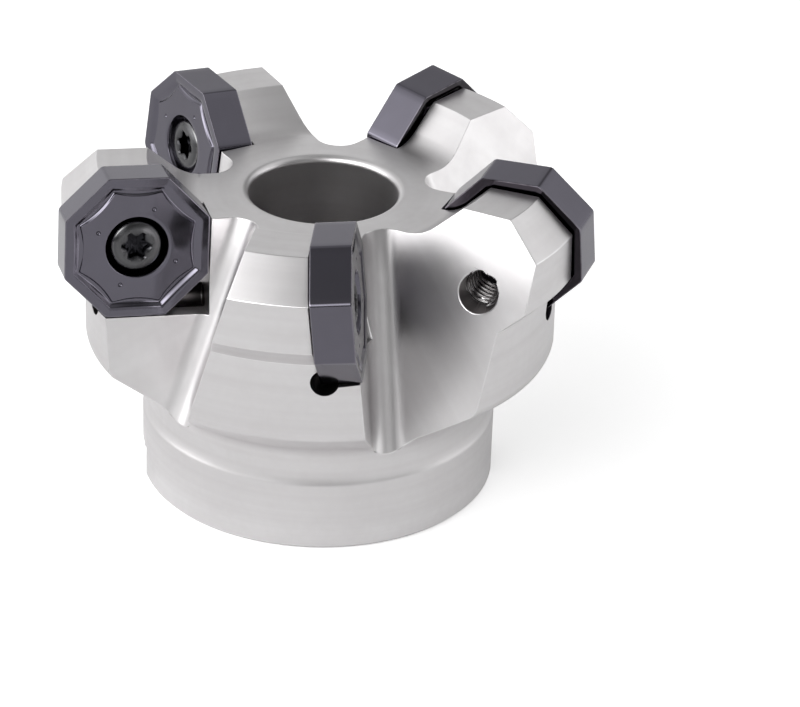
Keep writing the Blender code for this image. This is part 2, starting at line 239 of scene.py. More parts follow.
# Coated carbide
COAT_CLOUDS = ((0.136, 0.130, 0.157, 1.0), (0.127, 0.121, 0.145, 1.0))
COAT_FLECK = (0.16, 0.15, 0.19, 1.0)
# Painted shade on the face that lies against the seat
COAT_SEAT_SIDE_SHADE = (0.034, 0.030, 0.036, 1.0)
COAT_WEAR_AND_HIGHLIGHT = (0.36, 0.34, 0.38, 1.0)
COAT_GRAIN_DEPTH = 0.0000006
COAT_ROUGHNESS = 0.12

# Screw steel
SCREW_BANDS = ((0.080, 0.080, 0.084, 1.0), (0.120, 0.120, 0.124, 1.0))
SCREW_FILM = (0.075, 0.075, 0.078, 1.0)
# Painted shade in the screws' recesses
SCREW_RECESS_SHADE = (0.018, 0.018, 0.021, 1.0)
SCREW_WEAR_AND_HIGHLIGHT = (0.30, 0.30, 0.30, 1.0)
SCREW_RING_DEPTH = 0.000002
SCREW_GRAIN_DEPTH = 0.000001
SCREW_ROUGHNESS = 0.22
SCREW_SPREAD = 0.9


# Helpers for meshes

def arc(centre, radius, start, end, step=ARC_STEP):
    """Points on an arc from the start angle to the end angle, both included."""
    count = max(1, math.ceil(abs(end - start) / step - 1e-6))
    angles = [start + (end - start) * k / count for k in range(count + 1)]
    return [(centre[0] + radius * math.cos(a), centre[1] + radius * math.sin(a)) for a in angles]


def circle(radius, z, segments):
    angles = [2.0 * math.pi * k / segments for k in range(segments)]
    return [(radius * math.cos(a), radius * math.sin(a), z) for a in angles]


def loft(rings, closed=False):
    """Skin through rings of equal count. An open loft is capped, a closed one joins its ends."""
    bm = bmesh.new()
    rows = [[bm.verts.new(point) for point in ring] for ring in rings]
    pairs = list(zip(rows, rows[1:]))
    if closed:
        pairs.append((rows[-1], rows[0]))
    for low, high in pairs:
        for k in range(len(low)):
            n = (k + 1) % len(low)
            bm.faces.new((low[k], low[n], high[n], high[k]))
    if not closed:
        bm.faces.new(list(reversed(rows[0])))
        bm.faces.new(rows[-1])
    bmesh.ops.recalc_face_normals(bm, faces=bm.faces)
    return bm


def box(low, high):
    bm = bmesh.new()
    size = [b - a for a, b in zip(low, high)]
    centre = [(a + b) / 2 for a, b in zip(low, high)]
    place = Matrix.Translation(centre) @ Matrix.Diagonal((*size, 1.0))
    bmesh.ops.create_cube(bm, size=1.0, matrix=place)
    return bm


def mesh_from(bm, name, matrix=None, triangles=False):
    if matrix is not None:
        bm.transform(matrix)
    if triangles:
        bmesh.ops.triangulate(bm, faces=bm.faces)
    mesh = bpy.data.meshes.new(name)
    bm.to_mesh(mesh)
    bm.free()
    return mesh


def add_object(name, mesh):
    item = bpy.data.objects.new(name, mesh)
    bpy.context.scene.collection.objects.link(item)
    return item


def evaluated_mesh(item, name):
    """Plain mesh of an object with its modifiers taken in."""
    graph = bpy.context.evaluated_depsgraph_get()
    mesh = bpy.data.meshes.new_from_object(item.evaluated_get(graph))
    mesh.name = name
    return mesh


def discard(*items):
    for item in items:
        bpy.data.objects.remove(item, do_unlink=True)


# Geometry Nodes tree that repeats a piece round the spindle

def link(tree, source, output, target, socket):
    tree.links.new(source.outputs[output], target.inputs[socket])


def round_the_spindle_tree():
    """Repeats the incoming mesh at even angles about Z, then gives it its material."""
    tree = bpy.data.node_groups.new("Round the spindle", "GeometryNodeTree")
    face = tree.interface
    face.new_socket("Geometry", in_out="INPUT", socket_type="NodeSocketGeometry")
    face.new_socket("Count", in_out="INPUT", socket_type="NodeSocketInt")
    face.new_socket("First Angle", in_out="INPUT", socket_type="NodeSocketFloat")
    face.new_socket("Material", in_out="INPUT", socket_type="NodeSocketMaterial")
    face.new_socket("Geometry", in_out="OUTPUT", socket_type="NodeSocketGeometry")
    nodes = tree.nodes
    start = nodes.new("NodeGroupInput")
    end = nodes.new("NodeGroupOutput")
    points = nodes.new("GeometryNodePoints")
    place = nodes.new("GeometryNodeInstanceOnPoints")
    index = nodes.new("GeometryNodeInputIndex")
    pitch = nodes.new("ShaderNodeMath")
    pitch.operation = "DIVIDE"
    pitch.inputs[0].default_value = 2.0 * math.pi
    angle = nodes.new("ShaderNodeMath")
    angle.operation = "MULTIPLY_ADD"
    turn = nodes.new("ShaderNodeCombineXYZ")
    realize = nodes.new("GeometryNodeRealizeInstances")
    finish = nodes.new("GeometryNodeSetMaterial")
    link(tree, start, "Count", points, "Count")
    link(tree, start, "Count", pitch, 1)
    link(tree, index, "Index", angle, 0)
    link(tree, pitch, "Value", angle, 1)
    link(tree, start, "First Angle", angle, 2)
    link(tree, angle, "Value", turn, "Z")
    link(tree, points, "Points", place, "Points")
    link(tree, start, "Geometry", place, "Instance")
    link(tree, turn, "Vector", place, "Rotation")
    link(tree, place, "Instances", realize, "Geometry")
    link(tree, realize, "Geometry", finish, "Geometry")
    link(tree, start, "Material", finish, "Material")
    link(tree, finish, "Geometry", end, "Geometry")
    return tree


def set_input(modifier, name, value):
    """Sets a tree's named input through its socket's identifier."""
    for socket in modifier.node_group.interface.items_tree:
        if socket.name == name and socket.in_out == "INPUT":
            modifier[socket.identifier] = value


def round_the_spindle(name, mesh, material=None):
    """One plain mesh of a tooth's piece repeated on every tooth."""
    item = add_object(name, mesh)
    repeat = item.modifiers.new("Repeat", "NODES")
    repeat.node_group = SPINDLE_TREE
    set_input(repeat, "Count", TOOTH_COUNT)
    set_input(repeat, "First Angle", FIRST_TOOTH_AZIMUTH)
    set_input(repeat, "Material", material)
    whole = evaluated_mesh(item, name)
    discard(item)
    return whole


SPINDLE_TREE = round_the_spindle_tree()


# Body

def body_profile():
    """Half section of the body as (radius, height) pairs, down the outside and up the bore."""
    half_side = TOOTH_OCTAGON * math.tan(math.pi / INSERT_SIDES)
    top_inner = INSERT_ORBIT - half_side
    skirt_top = INSERT_HEIGHT - half_side - (TOOTH_RADIUS - RIM_RADIUS)
    points = [
        (top_inner, TOOTH_TOP),
        (INSERT_ORBIT + half_side, TOOTH_TOP),
        (TOOTH_RADIUS, INSERT_HEIGHT + half_side),
        (TOOTH_RADIUS, INSERT_HEIGHT - half_side),
        (RIM_RADIUS, skirt_top),
    ]
    neck_centre_r = HUB_RADIUS - NECK_UNDERCUT + NECK_FILLET_RADIUS
    drop = math.sqrt(NECK_FILLET_RADIUS ** 2 - (neck_centre_r - HUB_RADIUS) ** 2)
    neck_centre = (neck_centre_r, HUB_HEIGHT + drop)
    underside = math.pi / 2 + RIM_UNDERSIDE_ANGLE
    hub_edge = math.pi + math.asin(drop / NECK_FILLET_RADIUS)
    neck = arc(neck_centre, NECK_FILLET_RADIUS, underside, hub_edge)
    run = RIM_RADIUS - RIM_ROUND - neck[0][0]
    rise = run * math.tan(RIM_UNDERSIDE_ANGLE) + RIM_ROUND / math.cos(RIM_UNDERSIDE_ANGLE)
    rim_centre = (RIM_RADIUS - RIM_ROUND, neck[0][1] + rise)
    points += arc(rim_centre, RIM_ROUND, 0.0, RIM_UNDERSIDE_ANGLE - math.pi / 2)
    points += neck
    points += [
        (HUB_RADIUS, HUB_CHAMFER),
        (HUB_RADIUS - HUB_CHAMFER, 0.0),
        (ARBOR_BORE_RADIUS + ARBOR_BORE_CHAMFER, 0.0),
        (ARBOR_BORE_RADIUS, ARBOR_BORE_CHAMFER),
        (ARBOR_BORE_RADIUS, ARBOR_BORE_DEPTH),
        (LOCK_SCREW_HOLE_RADIUS, ARBOR_BORE_DEPTH),
        (LOCK_SCREW_HOLE_RADIUS, ARBOR_BORE_DEPTH + SHOULDER_THICKNESS),
        (COUNTERBORE_RADIUS, ARBOR_BORE_DEPTH + SHOULDER_THICKNESS),
    ]
    lip_centre = (COUNTERBORE_RADIUS + COUNTERBORE_LIP_RADIUS, PLATE_HEIGHT - COUNTERBORE_LIP_RADIUS)
    points += arc(lip_centre, COUNTERBORE_LIP_RADIUS, math.pi, math.pi / 2)
    blend_reach = PLATE_BLEND_RADIUS * math.tan(math.pi / INSERT_SIDES)
    facet_foot = top_inner - (TOOTH_TOP - PLATE_HEIGHT)
    blend_centre = (facet_foot - blend_reach, PLATE_HEIGHT + PLATE_BLEND_RADIUS)
    points += arc(blend_centre, PLATE_BLEND_RADIUS, -math.pi / 2, -math.pi / 4)
    return points


def seat_frame():
    """Frame of an insert in its tooth: X outward, Y down, Z along the rake face's normal."""
    return (
        Matrix.Translation((INSERT_ORBIT, 0.0, INSERT_HEIGHT))
        @ Matrix.Rotation(RADIAL_RAKE, 4, "Z")
        @ Matrix.Rotation(-AXIAL_RAKE, 4, "X")
        @ Matrix.Rotation(-INSERT_TURN, 4, "Y")
        @ Matrix.Rotation(-math.pi / 2, 4, "X")
    )


def wall_plane():
    """Front wall of a tooth: parallel to the rake face and a little behind it."""
    seat = seat_frame()
    normal = (seat.to_3x3() @ Vector((0.0, 0.0, 1.0))).normalized()
    return normal, normal.dot(seat.translation) + INSERT_THICKNESS / 2 - WALL_SETBACK


def back_plane():
    """Back of the next tooth, seen from the frame of this gullet's own tooth."""
    azimuth = BACK_AZIMUTH + TOOTH_PITCH
    flat = Vector((math.cos(azimuth), math.sin(azimuth), 0.0)) * math.cos(BACK_TILT)
    return flat + Vector((0.0, 0.0, math.sin(BACK_TILT))), BACK_DISTANCE


def section_line(plane, height):
    """Trace of a plane at one height: a unit normal in XY and its distance from the axis."""
    normal, distance = plane
    length = math.hypot(normal.x, normal.y)
    return Vector((normal.x, normal.y)) / length, (distance - normal.z * height) / length


def out_to(start, direction, radius):
    """Point where a line that starts inside a circle about the axis leaves it."""
    along = start.dot(direction)
    return start + direction * (math.sqrt(along ** 2 + radius ** 2 - start.dot(start)) - along)


def gullet_section(height):
    """Closed outline of the gullet at one height, from the tooth's wall round to the next back."""
    wall_normal, wall_offset = section_line(wall_plane(), height)
    back_normal, back_offset = section_line(back_plane(), height)
    # The root's centre is one radius inside both lines
    lines = Matrix(((wall_normal.x, wall_normal.y), (back_normal.x, back_normal.y)))
    offsets = Vector((wall_offset + GULLET_ROOT_RADIUS, back_offset + GULLET_ROOT_RADIUS))
    centre = lines.inverted() @ offsets
    start = math.atan2(-wall_normal.y, -wall_normal.x)
    end = math.atan2(-back_normal.y, -back_normal.x)
    while end > start:
        end -= 2.0 * math.pi
    step = abs(end - start) / ROOT_ARC_STEPS
    root = [Vector(point) for point in arc(centre, GULLET_ROOT_RADIUS, start, end, step)]
    first = out_to(root[0], Vector((wall_normal.y, -wall_normal.x)), GULLET_REACH)
    last = out_to(root[-1], Vector((-back_normal.y, back_normal.x)), GULLET_REACH)
    # One more point keeps the outline's closing side clear of the body
    outside = (first + last).normalized() * GULLET_REACH
    return [(point.x, point.y, height) for point in [first] + root + [last, outside]]


def thread_radius(angle, z):
    """Radius of the tapped hole's wall: crest, flank and root of a V thread."""
    share = (z / THREAD_PITCH - angle / (2.0 * math.pi)) % 1.0
    slope = THREAD_FLANK_SLOPE * abs(2.0 * share - 1.0) - THREAD_CREST_SHARE
    slope = min(1.0, max(0.0, slope))
    return THREAD_CREST_RADIUS + (THREAD_ROOT_RADIUS - THREAD_CREST_RADIUS) * slope


def own_back(seat):
    """Back of an insert's own tooth: its normal, and how far along the seat's Z it is met."""
    normal, distance = back_plane()
    normal = Matrix.Rotation(-TOOTH_PITCH, 3, "Z") @ normal
    axis = seat.to_3x3() @ Vector((0.0, 0.0, 1.0))
    return normal, (distance - normal.dot(seat.translation)) / normal.dot(axis)


def screw_hole(seat):
    """Tapped hole along the seat's Z, out through the back of its own tooth."""
    end_z = own_back(seat)[1] - HOLE_OVERRUN
    count = math.ceil(abs(end_z) / (THREAD_PITCH / RINGS_PER_THREAD))
    rings = []
    for k in range(count + 1):
        z = end_z * k / count
        ring = []
        for n in range(HOLE_SEGMENTS):
            a = 2.0 * math.pi * n / HOLE_SEGMENTS
            r = thread_radius(a, z)
            ring.append((r * math.cos(a), r * math.sin(a), z))
        rings.append(ring)
    return mesh_from(loft(rings), "screw_hole", seat, triangles=True)


def hole_mouth(seat):
    """Cone sunk square into the tooth's back, round the place where the screw hole comes out."""
    normal, exit_z = own_back(seat)
    across = Vector((0.0, 0.0, 1.0)).cross(normal).normalized()
    up = normal.cross(across)
    sideways, upwards = HOLE_MOUTH_SHIFT
    centre = seat @ Vector((0.0, 0.0, exit_z)) + across * sideways + up * upwards
    place = Matrix.Translation(centre) @ Matrix((across, up, normal)).transposed().to_4x4()
    ends = ((CUT_MARGIN - HOLE_MOUTH_RADIUS, CUT_MARGIN), (CUT_MARGIN, HOLE_MOUTH_RADIUS + CUT_MARGIN))
    cone = loft([circle(radius, z, HOLE_SEGMENTS) for z, radius in ends])
    return mesh_from(cone, "hole_mouth", place, triangles=True)


def tooth_cutters():
    """Meshes cut from the turned body, each repeated on every tooth."""
    seat = seat_frame()
    inner = INSERT_INSCRIBED_RADIUS + SEAT_CLEARANCE
    outer = TOOTH_RADIUS - INSERT_ORBIT + INSERT_INSCRIBED_RADIUS
    floor = INSERT_THICKNESS / 2 + SEAT_CLEARANCE
    front = INSERT_THICKNESS / 2 - WALL_SETBACK + CUT_MARGIN
    gullet = loft([gullet_section(z) for z in (HUB_HEIGHT / 2, TOOTH_TOP + 2 * CUT_MARGIN)])
    pocket = box((-inner, -outer, -floor), (outer, inner, front))
    relief_start = -inner - CORNER_RELIEF_OVERRUN
    relief = loft([
        circle(CORNER_RELIEF_RADIUS, relief_start, HOLE_SEGMENTS),
        circle(CORNER_RELIEF_RADIUS, outer, HOLE_SEGMENTS),
    ])
    relief_place = Matrix.Translation((0.0, inner - CORNER_RELIEF_OFFSET, CORNER_RELIEF_OFFSET - floor))
    relief_place = seat @ relief_place @ Matrix.Rotation(math.pi / 2, 4, "Y")
    return [
        mesh_from(gullet, "gullets", triangles=True),
        mesh_from(pocket, "pockets", seat, triangles=True),
        mesh_from(relief, "reliefs", relief_place, triangles=True),
        screw_hole(seat),
        hole_mouth(seat),
    ]


def mark_tool(mesh, tool):
    """Notes the tool that makes a mesh's faces as their material index, which a boolean keeps."""
    mesh.materials.clear()
    for _ in (LATHE, END_MILL, DRILL):
        mesh.materials.append(None)
    mesh.polygons.foreach_set("material_index", [tool] * len(mesh.polygons))


def cut_away(item, cutters):
    for cutter in cutters:
        cut = item.modifiers.new("Cut " + cutter.name, "BOOLEAN")
        cut.operation = "DIFFERENCE"
        cut.solver = "EXACT"
        cut.material_mode = "INDEX"
        cut.object = cutter


def across_marks(place):
    """Direction across the milling marks at a place, turned with the gullet that it lies in."""
    from_first = math.atan2(place.y, place.x) - FIRST_TOOTH_AZIMUTH - GULLET_MIDDLE
    tooth = round(from_first / TOOTH_PITCH)
    return Matrix.Rotation(FIRST_TOOTH_AZIMUTH + tooth * TOOTH_PITCH, 3, "Z") @ Vector(MILLING_ACROSS)


def tidy_and_break_edges(mesh):
    """Joins flat triangles into faces, notes their tool, then rounds and marks every sharp edge."""
    bm = bmesh.new()
    bm.from_mesh(mesh)
    bmesh.ops.remove_doubles(bm, verts=bm.verts, dist=MERGE_DISTANCE)
    bmesh.ops.dissolve_limit(
        bm, angle_limit=FLAT_ANGLE, verts=bm.verts, edges=bm.edges, delimit={"MATERIAL"}
    )
    bmesh.ops.remove_doubles(bm, verts=bm.verts, dist=SLIVER_LENGTH)
    bmesh.ops.dissolve_degenerate(bm, edges=bm.edges, dist=DEGENERATE_LENGTH)
    wear_and_highlight = bm.faces.layers.float.new("edge")
    milled = bm.faces.layers.float.new("milled")
    hole_shade = bm.faces.layers.float.new("hole_shade")
    across = bm.faces.layers.float_vector.new("across")
    bore_reach = COUNTERBORE_RADIUS + EDGE_BREAK
    for face in bm.faces:
        in_bore = all(math.hypot(v.co.x, v.co.y) < bore_reach for v in face.verts)
        face[milled] = float(face.material_index == END_MILL)
        # Painted shade: drilled faces are darkened fully, the bore by BORE_SHADE
        face[hole_shade] = 1.0 if face.material_index == DRILL else BORE_SHADE * in_bore
        face[across] = across_marks(face.calc_center_median())
        face.material_index = 0
    edges = [e for e in bm.edges if e.is_manifold and e.calc_face_angle() > BROKEN_EDGE_ANGLE]
    made = bmesh.ops.bevel(
        bm, geom=edges, offset=EDGE_BREAK, offset_type="OFFSET", segments=2, profile=0.5,
        affect="EDGES", clamp_overlap=False, miter_outer="ARC",
    )
    # Bevel faces take the edge wear and its painted highlight
    for face in made["faces"]:
        face[wear_and_highlight] = 1.0
    bm.to_mesh(mesh)
    bm.free()
    mesh.shade_smooth()
    mesh.set_sharp_from_angle(angle=BODY_SHARP_ANGLE)


def make_body(material):
    profile = body_profile()
    turned = loft([circle(r, z, TURNED_STEPS) for r, z in profile], closed=True)
    body = add_object("cutter_body_finished", mesh_from(turned, "cutter_body", triangles=True))
    mark_tool(body.data, LATHE)
    reach = HUB_RADIUS + CUT_MARGIN
    half_width = DRIVE_SLOT_WIDTH / 2
    slot = box((-reach, -half_width, -CUT_MARGIN), (reach, half_width, DRIVE_SLOT_DEPTH))
    cutters = [add_object("drive_slot", mesh_from(slot, "drive_slot", triangles=True))]
    for mesh in tooth_cutters():
        cutters.append(add_object(mesh.name, round_the_spindle(mesh.name, mesh)))
    # Slot, gullets and pockets are milled; reliefs, screw holes and their mouths are drilled and take
    # the drilled holes' painted shade
    for cutter, tool in zip(cutters, (END_MILL, END_MILL, END_MILL, DRILL, DRILL, DRILL)):
        mark_tool(cutter.data, tool)
    cut_away(body, cutters)
    mesh = evaluated_mesh(body, "cutter_body")
    body.modifiers.clear()
    body.data = mesh
    discard(*cutters)
    tidy_and_break_edges(mesh)
    mesh.materials.clear()
    mesh.materials.append(material)
    weight = body.modifiers.new("Flat faces stay flat", "WEIGHTED_NORMAL")
    weight.mode = "FACE_AREA"
    weight.keep_sharp = True
    weight.weight = 100
    body.data = evaluated_mesh(body, "cutter_body")
    body.modifiers.clear()
    return body


# Inserts

def octagon_ring(inset, z, scallop):
    """Insert's outline, set in from the cutting edge, with its sides drawn in at their middles."""
    inscribed = INSERT_INSCRIBED_RADIUS - inset
    corner_radius = max(LEAST_CORNER_RADIUS, INSERT_CORNER_RADIUS - CORNER_NARROWING * inset)
    half_angle = math.pi / INSERT_SIDES
    centre_distance = (inscribed - corner_radius) / math.cos(half_angle)
    half_length = centre_distance * math.sin(half_angle)
    ring = []
    for side in range(INSERT_SIDES):
        corner = half_angle * (2 * side + 1)
        for k in range(CORNER_STEPS + 1):
            a = corner + half_angle * (2.0 * k / CORNER_STEPS - 1.0)
            x = centre_distance * math.cos(corner) + corner_radius * math.cos(a)
            y = centre_distance * math.sin(corner) + corner_radius * math.sin(a)
            ring.append((x, y, z))
        middle = corner + half_angle
        for k in range(1, SIDE_STEPS):
            t = 2.0 * k / SIDE_STEPS - 1.0
            r = inscribed - scallop * (1.0 - t * t)
            x = r * math.cos(middle) - t * half_length * math.sin(middle)
            y = r * math.sin(middle) + t * half_length * math.cos(middle)
            ring.append((x, y, z))
    return ring


def round_ring(radius, z):
    """Circle with its points in line with those of the octagon's rings."""
    angles = [math.atan2(y, x) for x, y, _ in octagon_ring(PLATEAU_INSET, 0.0, PLATEAU_SCALLOP)]
    return [(radius * math.cos(a), radius * math.sin(a), z) for a in angles]


def insert_face(half):
    """Rings of one face, from the cutting edge over land, groove and plateau into the hole."""
    rings = []
    for inset, depth in HONED_EDGE + EDGE_LAND + CHIP_GROOVE + PLATEAU_RIM:
        share = (inset - GROOVE_INSET) / (PLATEAU_INSET - GROOVE_INSET)
        scallop = PLATEAU_SCALLOP * min(1.0, max(0.0, share))
        rings.append(octagon_ring(inset, half - depth, scallop))
    for radius, depth in HOLE_BELL:
        rings.append(round_ring(radius, half - PLATEAU_DEPTH - depth))
    return rings


def note_local_place(mesh):
    """Keeps each point's place in the piece's own frame, for patterns that follow the piece."""
    local = mesh.attributes.new("local", "FLOAT_VECTOR", "POINT")
    local.data.foreach_set("vector", [c for v in mesh.vertices for c in v.co])


def note_mask(mesh, name, inside):
    """Keeps a mask of the points for which inside(place) holds."""
    mask = mesh.attributes.new(name, "FLOAT", "POINT")
    mask.data.foreach_set("value", [float(inside(v.co)) for v in mesh.vertices])


def side_reach(place):
    """Distance of a point from the insert's axis, square to the side that it is nearest to."""
    sides = [2.0 * math.pi * k / INSERT_SIDES for k in range(INSERT_SIDES)]
    return max(place.x * math.cos(a) + place.y * math.sin(a) for a in sides)


def on_cutting_edge(place):
    """Whether a point of the insert is on its honed edge."""
    near_side = side_reach(place) > INSERT_INSCRIBED_RADIUS - EDGE_MASK
    return near_side and abs(place.z) > INSERT_THICKNESS / 2 - EDGE_MASK


def on_flank(place):
    """Whether a point of the insert is on a side face, or on the corner between two of them."""
    to_corner_centre = INSERT_INSCRIBED_RADIUS - INSERT_CORNER_RADIUS
    corner_reach = to_corner_centre / math.cos(math.pi / INSERT_SIDES) + INSERT_CORNER_RADIUS
    on_corner = math.hypot(place.x, place.y) > corner_reach - CORNER_MASK
    return on_corner or side_reach(place) > INSERT_INSCRIBED_RADIUS - FLANK_MASK


def on_seat_side(place):
    """Whether a point of the insert is on the face that lies against its seat."""
    return place.z < -INSERT_THICKNESS / 4 and not on_flank(place)


def dimple_balls(half):
    """Balls that press the dimples into both faces."""
    bm = bmesh.new()
    for side in (1.0, -1.0):
        z = side * (half - PLATEAU_DEPTH + DIMPLE_RADIUS - DIMPLE_SINK)
        for k in range(DIMPLE_COUNT):
            a = DIMPLE_FIRST_ANGLE + 2.0 * math.pi * k / DIMPLE_COUNT
            place = Matrix.Translation((DIMPLE_ORBIT * math.cos(a), DIMPLE_ORBIT * math.sin(a), z))
            bmesh.ops.create_uvsphere(
                bm, u_segments=DIMPLE_SEGMENTS, v_segments=DIMPLE_RINGS,
                radius=DIMPLE_RADIUS, matrix=place,
            )
    return mesh_from(bm, "dimples")


def make_inserts(material):
    half = INSERT_THICKNESS / 2
    face = insert_face(half)
    other_face = [[(x, y, -z) for x, y, z in ring] for ring in reversed(face)]
    blank = add_object("insert_blank", mesh_from(loft(face + other_face, closed=True), "insert"))
    cutter = add_object("dimples", dimple_balls(half))
    cut_away(blank, [cutter])
    mesh = evaluated_mesh(blank, "insert")
    discard(blank, cutter)
    mesh.materials.clear()
    note_local_place(mesh)
    note_mask(mesh, "edge", on_cutting_edge)
    # Mask for the painted shade on the face that lies against the seat
    note_mask(mesh, "seat_side_shade", on_seat_side)
    mesh.transform(seat_frame())
    whole = round_the_spindle("cutting_inserts", mesh, material)
    whole.shade_smooth()
    whole.set_sharp_from_angle(angle=SMALL_PIECE_SHARP_ANGLE)
    return add_object("cutting_inserts", whole)


# Screws

def note_radial_direction(mesh, count):
    """Keeps the direction away from its screw's axis at each point, turned with the screw's tooth."""
    seat = seat_frame().to_3x3()
    local = mesh.attributes["local"].data
    directions = []
    for k in range(len(mesh.vertices)):
        turn = Matrix.Rotation(FIRST_TOOTH_AZIMUTH + k // count * TOOTH_PITCH, 3, "Z")
        x, y, _ = local[k].vector
        directions.extend(turn @ seat @ Vector((x, y, 0.0)).normalized())
    radial = mesh.attributes.new("radial", "FLOAT_VECTOR", "POINT")
    radial.data.foreach_set("vector", directions)


def lobed_ring(z, outer, inner):
    """Outline of the six-lobed recess: narrow lobes with wide flutes between them."""
    ring = []
    for k in range(RECESS_SEGMENTS):
        a = 2.0 * math.pi * k / RECESS_SEGMENTS
        lobe = (0.5 + 0.5 * math.cos(RECESS_LOBES * a)) ** RECESS_LOBE_POWER
        r = inner + (outer - inner) * lobe
        ring.append((r * math.cos(a), r * math.sin(a), z))
    return ring


def screw_rings():
    """Rings of a screw, from the recess's floor up and over the head, then down to the tip."""
    top = SCREW_HEAD_TOP
    mouth = RECESS_MOUTH_RADIUS
    outer, inner = RECESS_OUTER_RADIUS, RECESS_INNER_RADIUS
    cone_height = (SCREW_HEAD_RADIUS - SCREW_RADIUS) / math.tan(SCREW_HEAD_HALF_ANGLE)
    rings = [
        lobed_ring(top - RECESS_DEPTH, outer * RECESS_FLOOR_SHARE, inner * RECESS_FLOOR_SHARE),
        lobed_ring(top - RECESS_WALL_DEPTH, outer, inner),
        lobed_ring(top - 0.00022, outer, inner),
        lobed_ring(top - 0.00006, mouth, mouth - 0.00030),
    ]
    for radius, z in (
        (mouth + 0.00002, top + 0.00002), (mouth + 0.0005, top + 0.00001),
        (SCREW_HEAD_RADIUS - 0.00060, top - 0.00007), (SCREW_HEAD_RADIUS - 0.00028, top - 0.00015),
        (SCREW_HEAD_RADIUS - 0.00008, top - 0.00028), (SCREW_HEAD_RADIUS, top - 0.00045),
        (SCREW_HEAD_RADIUS, top - SCREW_HEAD_RIM),
        (SCREW_RADIUS, top - SCREW_HEAD_RIM - cone_height),
        (SCREW_RADIUS, top - SCREW_LENGTH + SCREW_END_CHAMFER),
        (SCREW_RADIUS - SCREW_END_CHAMFER, top - SCREW_LENGTH),
    ):
        rings.append(circle(radius, z, RECESS_SEGMENTS))
    return rings


def on_head_rim(place):
    """Whether a point of the screw is on the rounded rim of its head."""
    in_height = SCREW_HEAD_TOP - 0.0004 < place.z < SCREW_HEAD_TOP
    return in_height and math.hypot(place.x, place.y) > SCREW_HEAD_RADIUS - 0.00010


def in_recess(place):
    """Whether a point of the screw is in its recess. Points of its shank count too."""
    return place.z < SCREW_HEAD_TOP - 0.0001 and math.hypot(place.x, place.y) < RECESS_MOUTH_RADIUS


def make_screws(material):
    mesh = mesh_from(loft(screw_rings()), "insert_screw")
    note_local_place(mesh)
    note_mask(mesh, "edge", on_head_rim)
    # Mask for the painted shade in the recess
    note_mask(mesh, "recess_shade", in_recess)
    mesh.transform(seat_frame())
    whole = round_the_spindle("insert_screws", mesh, material)
    note_radial_direction(whole, len(mesh.vertices))
    whole.shade_smooth()
    whole.set_sharp_from_angle(angle=SMALL_PIECE_SHARP_ANGLE)
    return add_object("insert_screws", whole)


# Building shader trees

def node(tree, kind, **settings):
    made = tree.nodes.new(kind)
    for key, value in settings.items():
        setattr(made, key, value)
    return made


def feed(tree, target, value):
    """Links a socket to an input, or sets the input to a plain value."""
    if isinstance(value, bpy.types.NodeSocket):
        tree.links.new(value, target)
    else:
        target.default_value = value


def reckon(tree, operation, *values):
    """Math node on sockets or numbers. Gives the result's socket."""
    step = node(tree, "ShaderNodeMath", operation=operation)
    for target, value in zip(step.inputs, values):
        feed(tree, target, value)
    return step.outputs[0]


def span(tree, value, low, high, to_low=0.0, to_high=1.0):
    """Value's place between low and high, held within the new limits."""
    step = node(tree, "ShaderNodeMapRange", interpolation_type="LINEAR", clamp=True)
    for target, number in zip(step.inputs, (value, low, high, to_low, to_high)):
        feed(tree, target, number)
    return step.outputs[0]


def noise(tree, vector, scale, detail=2.0):
    cloud = node(tree, "ShaderNodeTexNoise")
    feed(tree, cloud.inputs["Vector"], vector)
    feed(tree, cloud.inputs["Scale"], scale)
    cloud.inputs["Detail"].default_value = detail
    return cloud.outputs["Fac"]


def parts_of(tree, vector):
    parts = node(tree, "ShaderNodeSeparateXYZ")
    feed(tree, parts.inputs[0], vector)
    return parts.outputs


def joined(tree, x, y, z=0.0):
    whole = node(tree, "ShaderNodeCombineXYZ")
    for target, value in zip(whole.inputs, (x, y, z)):
        feed(tree, target, value)
    return whole.outputs[0]


def mixed_colour(tree, share, first, second):
    mix = node(tree, "ShaderNodeMix", data_type="RGBA")
    feed(tree, mix.inputs[0], share)
    feed(tree, mix.inputs[6], first)
    feed(tree, mix.inputs[7], second)
    return mix.outputs[2]


def mixed_number(tree, share, first, second):
    mix = node(tree, "ShaderNodeMix", data_type="FLOAT")
    feed(tree, mix.inputs[0], share)
    feed(tree, mix.inputs[2], first)
    feed(tree, mix.inputs[3], second)
    return mix.outputs[0]


def attribute(tree, name, kind="Fac"):
    return node(tree, "ShaderNodeAttribute", attribute_name=name).outputs[kind]


def new_group(name, inputs, outputs):
    """Empty shader group; inputs maps a name to its default, a number or a vector."""
    tree = bpy.data.node_groups.new(name, "ShaderNodeTree")
    for key, default in inputs.items():
        kind = "NodeSocketVector" if default is None else "NodeSocketFloat"
        socket = tree.interface.new_socket(key, in_out="INPUT", socket_type=kind)
        if default is not None:
            socket.default_value = default
    for key in outputs:
        tree.interface.new_socket(key, in_out="OUTPUT", socket_type="NodeSocketFloat")
    return tree, node(tree, "NodeGroupInput").outputs, node(tree, "NodeGroupOutput").inputs


def use_group(tree, group, **values):
    """Places a shared group in a material. Gives its outputs."""
    placed = node(tree, "ShaderNodeGroup", node_tree=group)
    for key, value in values.items():
        feed(tree, placed.inputs[key.replace("_", " ")], value)
    return placed.outputs


# Effects that the finishes share

